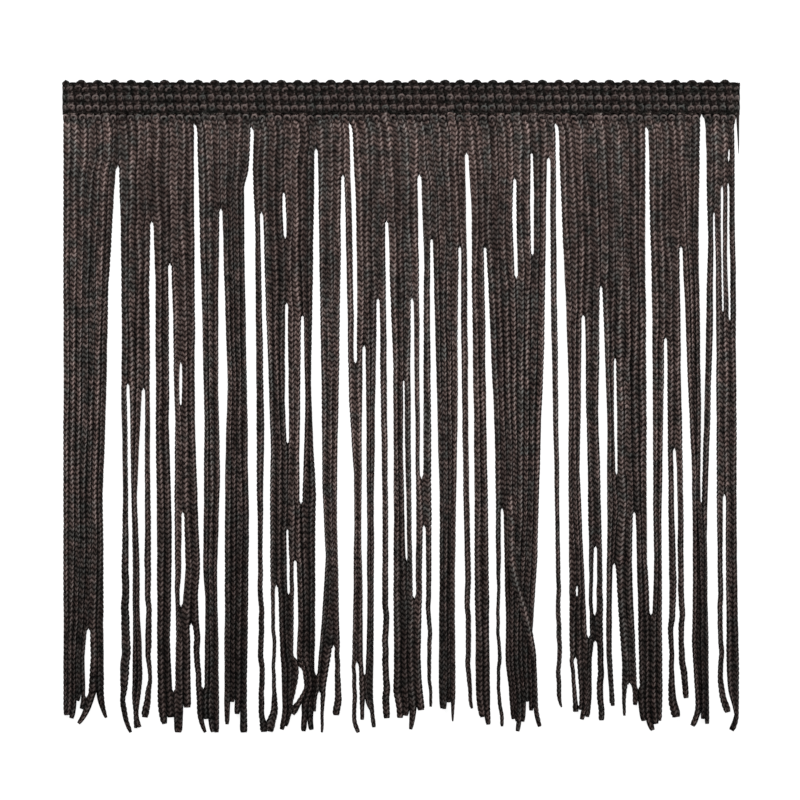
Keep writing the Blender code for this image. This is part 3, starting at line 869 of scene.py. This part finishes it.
def make_skirt(material):
    depths = np.arange(ROOT_DEPTH, DROP + 1.0, LANE_STEP)
    lanes = skirt_lanes(depths)
    per_piece = math.ceil(STRANDS / SKIRT_PIECES)
    for number in range(SKIRT_PIECES):
        strands = range(number * per_piece, min(STRANDS, (number + 1) * per_piece))
        bodies = [strand_body(strand, depths, lanes) for strand in strands]
        make_piece(f"skirt_strands_{number + 1}", bodies, material, "chainette_cord", "chainette_fringe")


# The heading

# The bound cord, by depth: how high and how wide it is, and how light. Under each row of binding it is
# drawn in, and its tone is painted dark there as painted shade.
COURSE_DEPTHS = (0.7, 1.8, 2.65, 4.15, 5.05, 6.4, 7.3, 8.7)
COURSE_HEIGHTS = (1.3, 1.85, 1.4, 2.1, 1.45, 2.1, 1.4, 1.4)
COURSE_WIDTHS = (2.1, 2.3, 2.15, 2.3, 2.15, 2.3, 2.15, 2.2)
COURSE_TONES = (0.35, 1.15, 0.36, 1.7, 0.36, 1.8, 0.4, 1.6)
# It starts this deep, ends this far below the heading, and keeps this far from the cut ends.
COURSE_STARTS = 0.9
COURSE_LAP = 0.4
COURSE_MARGIN = 0.9
COURSE_STEP = 0.2

# The rows of stitch heads that stand between the rows of binding: how deep each row is, how high it
# stands, how flat its heads are drawn, how unevenly, and how light they are.
HeadRow = namedtuple("HeadRow", "depth top flatness unevenness tone")
HEAD_ROWS = (
    HeadRow(1.95, 1.95, 0.6, 2.2, 0.8),
    HeadRow(4.2, 2.15, 1.0, 1.3, 0.95),
    HeadRow(6.5, 2.15, 1.0, 1.3, 1.0),
    HeadRow(8.8, 1.8, 1.0, 1.3, 1.15),
)
# Half of a head: across, up, and above its course. The other half is its mirror image.
HEAD_ARCH = (
    (0.54, -0.85, -0.5),
    (0.6, -0.35, -0.16),
    (0.59, 0.12, 0.0),
    (0.42, 0.42, 0.03),
    (0.0, 0.5, 0.04),
)
# How light a head is from one leg to the other, with painted shade where the legs go down into the dark.
HEAD_LIGHT = np.array((0.15, 0.5, 1.0, 1.1, 1.15, 1.1, 1.0, 0.5, 0.15))
# The yarn's thickness, and how far below the row's top it runs.
HEAD_YARN = 0.48
HEAD_SINK = 0.3
HEAD_MARGIN = 0.2
# How the heads differ: in width, height and tone, in how far one leg is lifted, in tilt, in degrees,
# and in place.
HEAD_WIDTHS = (0.88, 1.08)
HEAD_HEIGHTS = (0.85, 1.1)
HEAD_TONES = (0.7, 1.15)
HEAD_LIFT = 0.12
HEAD_TILT = 9
HEAD_STRAY = 0.06

# The cord in its turns and between them, along the top edge: how deep its middle lies, how wide and
# how high it is, how free its sides are, how light it is, and how near it comes to the cut ends.
EdgeCord = namedtuple("EdgeCord", "depth width height free tone margin")
TURN = EdgeCord(1.23, 1.25, 1.375, 0.6, 0.36, 0.3)
EDGE = EdgeCord(1.05, 1.15, 1.38, 0.3, 0.24, 0.1)
EDGE_HEIGHT = 0.75
EDGE_SAG = 0.07
EDGE_POINTS = 6 * STRANDS
TURN_POINTS = 15
TURN_RADIUS = 0.78
TURN_FLATNESS = 0.8
TURN_REACHES = (0.92, 1.08)
# How far along from the middle of its two courses a turn stands.
SHIFT_PLACES = (-79.0, -60.0, -30.0, 5.0, 15.0, 33.0, 50.0, 79.0)
TURN_SHIFTS = (0.28, 0.54, 0.9, 0.9, 0.28, 0.28, 0.58, 0.58)


def course_middle(course, depth):
    return LEFT + PITCH * (course + 0.5) - at(depth, LEAN_DEPTHS, LEANS)


def inside(across, margin):
    """Keeps a cord within the heading's two cut ends."""
    return np.clip(across, LEFT + margin, LEFT + LENGTH - margin)


def edge_cord(cord, across, up, faces_up, coolness):
    path = np.stack([across, height_up(cord.depth) + up, np.full(len(up), EDGE_HEIGHT)], -1)
    free = (cord.free, cord.free)
    return knit_cord(path, cord.width, cord.height, 0.0, free, faces_up, cord.tone, coolness)


def course_body(course):
    """The part of the cord that is bound into the heading."""
    own = np.arange(COURSE_STARTS, HEADING_DEPTH + COURSE_LAP, COURSE_STEP)
    across = inside(course_middle(course, own) + wander(own, COURSE_SIDEWAYS), COURSE_MARGIN)
    height = at(own, COURSE_DEPTHS, COURSE_HEIGHTS)
    width = at(own, COURSE_DEPTHS, COURSE_WIDTHS)
    path = np.stack([across, height_up(own), height / 2], -1)
    shade = at(own, COURSE_DEPTHS, COURSE_TONES) * seeded.uniform(0.8, 1.15)
    return knit_cord(path, width, height, 0.0, (0.0, 0.0), True, shade, seeded.uniform(0.2, 1))


def turn_body(place):
    """The cord's turn from one course to the next, over the top edge."""
    middle = LEFT + PITCH * 2 * place
    middle += at(middle, SHIFT_PLACES, TURN_SHIFTS)
    sweep = np.radians(np.linspace(-5, 185, TURN_POINTS))
    out = -np.sign(np.cos(sweep)) * np.abs(np.cos(sweep)) ** TURN_FLATNESS * TURN_RADIUS
    up = np.sign(np.sin(sweep)) * np.abs(np.sin(sweep)) ** TURN_FLATNESS * TURN_RADIUS
    up *= seeded.uniform(*TURN_REACHES)
    return edge_cord(TURN, inside(middle + out, TURN.margin), up, True, seeded.uniform(0.7, 1))


def edge_body():
    """The cord between the turns, drawn flat along the top edge."""
    across = np.linspace(LEFT + EDGE.margin, LEFT + LENGTH - EDGE.margin, EDGE_POINTS)
    turned = across - at(across, SHIFT_PLACES, TURN_SHIFTS)
    sag = EDGE_SAG * np.cos((turned - LEFT) / PITCH * math.tau)
    return edge_cord(EDGE, across, sag, False, 0.8)


def stitch_head(middle, row):
    """The head of a drawn-up stitch: an arch of yarn whose legs go down into the binding."""
    right = np.array(HEAD_ARCH)
    arch = np.concatenate([right * (-1, 1, 1), right[-2::-1]])
    arch[:, 0] *= seeded.uniform(*HEAD_WIDTHS)
    arch[:, 1] *= row.flatness * seeded.uniform(*HEAD_HEIGHTS)
    arch[:, 2] += arch[:, 0] * seeded.normal(0, HEAD_LIFT) * row.unevenness
    tilt = math.radians(seeded.normal(0, HEAD_TILT) * row.unevenness)
    middle = middle + seeded.normal(0, HEAD_STRAY) * row.unevenness
    depth = row.depth + seeded.normal(0, HEAD_STRAY) * row.unevenness
    across = middle + arch[:, 0] * math.cos(tilt) - arch[:, 1] * math.sin(tilt)
    up = height_up(depth) + arch[:, 0] * math.sin(tilt) + arch[:, 1] * math.cos(tilt)
    path = np.stack([inside(across, HEAD_MARGIN), up, row.top - HEAD_SINK + arch[:, 2]], -1)
    tones = row.tone * seeded.uniform(*HEAD_TONES) * HEAD_LIGHT
    return plain_yarn(path, HEAD_YARN, tones, seeded.uniform(0, 0.9))


# At the right-hand cut end a loose yarn hangs out of the heading: how deep, how far in from the end
# and how thick it is there.
LOOSE_YARN_DEPTHS = (6.5, 8.0, 9.0, 12.0, 15.0, 17.2)
LOOSE_YARN_INSETS = (0.3, 0.3, 0.28, 0.2, 0.12, 0.1)
LOOSE_YARN_WIDTHS = (0.7, 0.8, 0.7, 0.5, 0.3, 0.12)
LOOSE_YARN_HEIGHT = 0.9
LOOSE_YARN_TONE = 0.2


def loose_yarn():
    own = np.array(LOOSE_YARN_DEPTHS)
    across = LEFT + LENGTH - np.array(LOOSE_YARN_INSETS)
    path = np.stack([across, height_up(own), np.full(len(own), LOOSE_YARN_HEIGHT)], -1)
    return plain_yarn(path, LOOSE_YARN_WIDTHS, LOOSE_YARN_TONE, 0.5)


def make_heading(material):
    bodies = []
    *bound_rows, last_row = HEAD_ROWS
    for course in range(STRANDS + 1):
        bodies.append(course_body(course))
        for row in bound_rows:
            bodies.append(stitch_head(course_middle(course, row.depth), row))
    # The last row stands on the strands, which are already parting there.
    lanes = skirt_lanes(np.array([last_row.depth]))
    for middle in lanes.middle[:, 0] - at(last_row.depth, LEAN_DEPTHS, LEANS):
        bodies.append(stitch_head(middle, last_row))
    bodies += [turn_body(place) for place in range(STRANDS // 2 + 1)]
    bodies += [edge_body(), loose_yarn()]
    make_piece("bound_courses", bodies, material, "bound_cord", "heading_band")


# The binding

# A chain stitch: half its length and half its width, its yarn, how far it slants as it goes over the
# next one, and how far under the CAD row's underside its middle lies, in the groove.
LINK_LENGTH = 1.12
LINK_WIDTH = 0.34
LINK_YARN = 0.28
LINK_SLANT = 0.07
LINK_SINK = 0.18
LINK_POINTS = 17
LINK_TONES = (0.3, 0.58)
LINK_MARGIN = 0.1


def link_body(across, depth, underside):
    """One chain stitch of the binding yarn, over one course."""
    sweep = np.linspace(0, 2 * math.pi, LINK_POINTS)
    along = LINK_LENGTH * np.cos(sweep)
    up = height_up(depth) + LINK_WIDTH * np.sin(sweep)
    height = underside - LINK_SINK + LINK_SLANT * along
    path = np.stack([inside(across + along, LINK_MARGIN), up, height], -1)
    return plain_yarn(path, LINK_YARN, seeded.uniform(*LINK_TONES), seeded.uniform(0.6, 1), spacing=0.4)


def make_chains(material):
    for name, (low, high) in CHAIN_BOXES.items():
        depth = TOP - (low.y + high.y) / 2 / MM
        bodies = []
        for course in range(STRANDS + 1):
            bodies.append(link_body(course_middle(course, depth), depth, low.z / MM))
        make_piece(f"binding_stitches_{name}", bodies, material, "binding_yarn", f"binding_chain_{name}")


# The studio


def make_floor():
    mesh = bpy.data.meshes.new("studio_floor")
    reach = FLOOR_WIDTH / 2 * MM
    corners = [(-reach, -reach, 0), (reach, -reach, 0), (reach, reach, 0), (-reach, reach, 0)]
    mesh.from_pydata(corners, [], [(0, 1, 2, 3)])
    mesh.materials.append(pale_floor())
    floor = bpy.data.objects.new("studio_floor", mesh)
    bpy.context.scene.collection.objects.link(floor)


def add_softbox(name, place, size, power):
    """A round softbox that faces the trim, with its place and size in metres."""
    light = bpy.data.lights.new(name, "AREA")
    light.shape = "DISK"
    light.size = size
    light.energy = power
    lamp = bpy.data.objects.new(name, light)
    lamp.location = place
    aim = -lamp.location
    lamp.rotation_euler = aim.to_track_quat("-Z", "Y").to_euler()
    bpy.context.scene.collection.objects.link(lamp)


def make_studio():
    make_floor()
    world = bpy.data.worlds.new("pale_studio")
    world.use_nodes = True
    background = world.node_tree.nodes["Background"]
    background.inputs["Color"].default_value = (1.0, 1.0, 1.0, 1.0)
    background.inputs["Strength"].default_value = 0.2
    bpy.context.scene.world = world
    add_softbox("high_softbox", (-0.25, 0.75, 0.9), 0.7, 9.0)
    add_softbox("side_softbox", (0.8, -0.1, 0.7), 0.6, 4.0)
    bpy.context.scene.view_settings.view_transform = "Standard"
    bpy.context.scene.view_settings.look = "None"


# The picture: its width in pixels, a pixel on the trim in millimetres, and where its middle lies. The
# camera's distance is counted from the trim's face, this high above the table.
FRAME_PIXELS = 800
PIXEL = 0.2336
PICTURE_MIDDLE = (-0.26, 1.48)
FACE_HEIGHT = 1.0
LENS = 300.0
SENSOR = 36.0


def make_camera():
    """Looks straight down, as the photograph does, from far enough for a flat view."""
    data = bpy.data.cameras.new("camera")
    data.lens = LENS
    data.sensor_width = SENSOR
    camera = bpy.data.objects.new("camera", data)
    away = FRAME_PIXELS * PIXEL * LENS / SENSOR + FACE_HEIGHT
    camera.location = (PICTURE_MIDDLE[0] * MM, PICTURE_MIDDLE[1] * MM, away * MM)
    bpy.context.scene.collection.objects.link(camera)
    bpy.context.scene.camera = camera


def main():
    cord = knitted_viscose("knitted_viscose_cord", "#0e0808", "#534541", "#7e6f6c", "#c6e1e3", 0.6)
    # The same cord, pressed flat in the heading, where its hollows are less deep, so their painted shade
    # is lighter.
    bound = knitted_viscose("bound_viscose_cord", "#1c1514", "#463a37", "#766865", "#c4dfdf", 0.64)
    # A finer viscose yarn, twisted hard, drawn in colours darker than the cord's.
    binding = knitted_viscose("twisted_binding_yarn", "#090706", "#241f1c", "#4a423e", "#c4e4de", 0.7)
    make_camera()
    make_skirt(cord)
    make_heading(bound)
    make_chains(binding)
    make_studio()


main()
